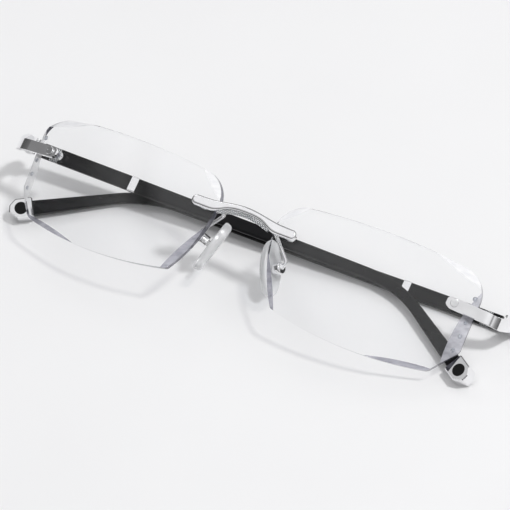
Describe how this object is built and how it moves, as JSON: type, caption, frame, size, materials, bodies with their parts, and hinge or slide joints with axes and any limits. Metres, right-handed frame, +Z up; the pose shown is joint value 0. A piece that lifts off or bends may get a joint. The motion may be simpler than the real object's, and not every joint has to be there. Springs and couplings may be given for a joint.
{
  "type": "rimless eyeglasses",
  "caption": "Rimless eyeglasses, folded: faceted clear lenses on a polished arched bridge, endpieces with hinged black temples, and silicone nose pads that rock.",
  "frame": {"origin": "centre of the bounding box in X and Y, on the surface that the folded glasses lie on", "axes": "+Z up, +X to the wearer's left along the front, -Y towards the lenses' lower edges; the glasses lie folded, lenses facing up"},
  "size_m": [0.1416, 0.0308, 0.0279],
  "materials": {
    "lens": "polished, faceted edge, anti-reflection coat",
    "crystal": "cut and polished",
    "polished_silver": "mirror polished plating",
    "satin_steel": "fine ribbed",
    "fastener_steel": "turned",
    "black_lacquer": "satin black lacquer",
    "black_sleeve": "satin gloss",
    "black_inlay": "gloss",
    "silicone": "clear soft silicone",
    "clear_plastic": "clear"
  },
  "bodies": {
    "front": {"bridge": "polished_silver", "bridge_trim": "satin_steel", "crystals_left": "crystal", "crystals_right": "crystal", "endpiece_left": "polished_silver", "endpiece_right": "polished_silver", "endpiece_screws": "fastener_steel", "front_washers": "clear_plastic", "hinge_screws": "fastener_steel", "lens_bushes": "clear_plastic", "lens_left": "lens", "lens_nuts": "fastener_steel", "lens_right": "lens", "pad_arm_left": "polished_silver", "pad_arm_right": "polished_silver", "pad_box_left": "polished_silver", "pad_box_right": "polished_silver", "pad_screws": "fastener_steel", "rear_washers": "clear_plastic"},
    "pad_left": {"nose_pad_left": "silicone", "pad_insert_left": "fastener_steel"},
    "pad_right": {"nose_pad_right": "silicone", "pad_insert_right": "fastener_steel"},
    "temple_left": {"temple_band_left": "polished_silver", "temple_bar_left": "black_lacquer", "temple_hinge_left": "fastener_steel", "temple_knurl_left": "satin_steel", "temple_tip_left": "black_sleeve", "tip_cap_left": "polished_silver", "tip_inlay_left": "black_inlay"},
    "temple_right": {"temple_band_right": "polished_silver", "temple_bar_right": "black_lacquer", "temple_hinge_right": "fastener_steel", "temple_knurl_right": "satin_steel", "temple_tip_right": "black_sleeve", "tip_cap_right": "polished_silver", "tip_inlay_right": "black_inlay"}
  },
  "joints": [
    {"name": "temple_left_fold", "type": "hinge", "parent": "front", "child": "temple_left", "pos_m": [0.06804, 0.01095, 0.00308], "axis": [-0.023, -0.9219, -0.3868], "range_deg": [0, 86.5]},
    {"name": "temple_right_fold", "type": "hinge", "parent": "front", "child": "temple_right", "pos_m": [-0.06811, 0.01095, 0.01117], "axis": [0.023, 0.9219, 0.3868], "range_deg": [0, 90]},
    {"name": "pad_left_rock", "type": "hinge", "parent": "front", "child": "pad_left", "pos_m": [0.01099, -0.00097, 0.01136], "axis": [0.2302, 0.6402, -0.7329], "range_deg": [-8, 8]},
    {"name": "pad_right_rock", "type": "hinge", "parent": "front", "child": "pad_right", "pos_m": [-0.01048, -0.00097, 0.01263], "axis": [-0.3154, 0.6402, -0.7005], "range_deg": [-8, 8]}
  ]
}
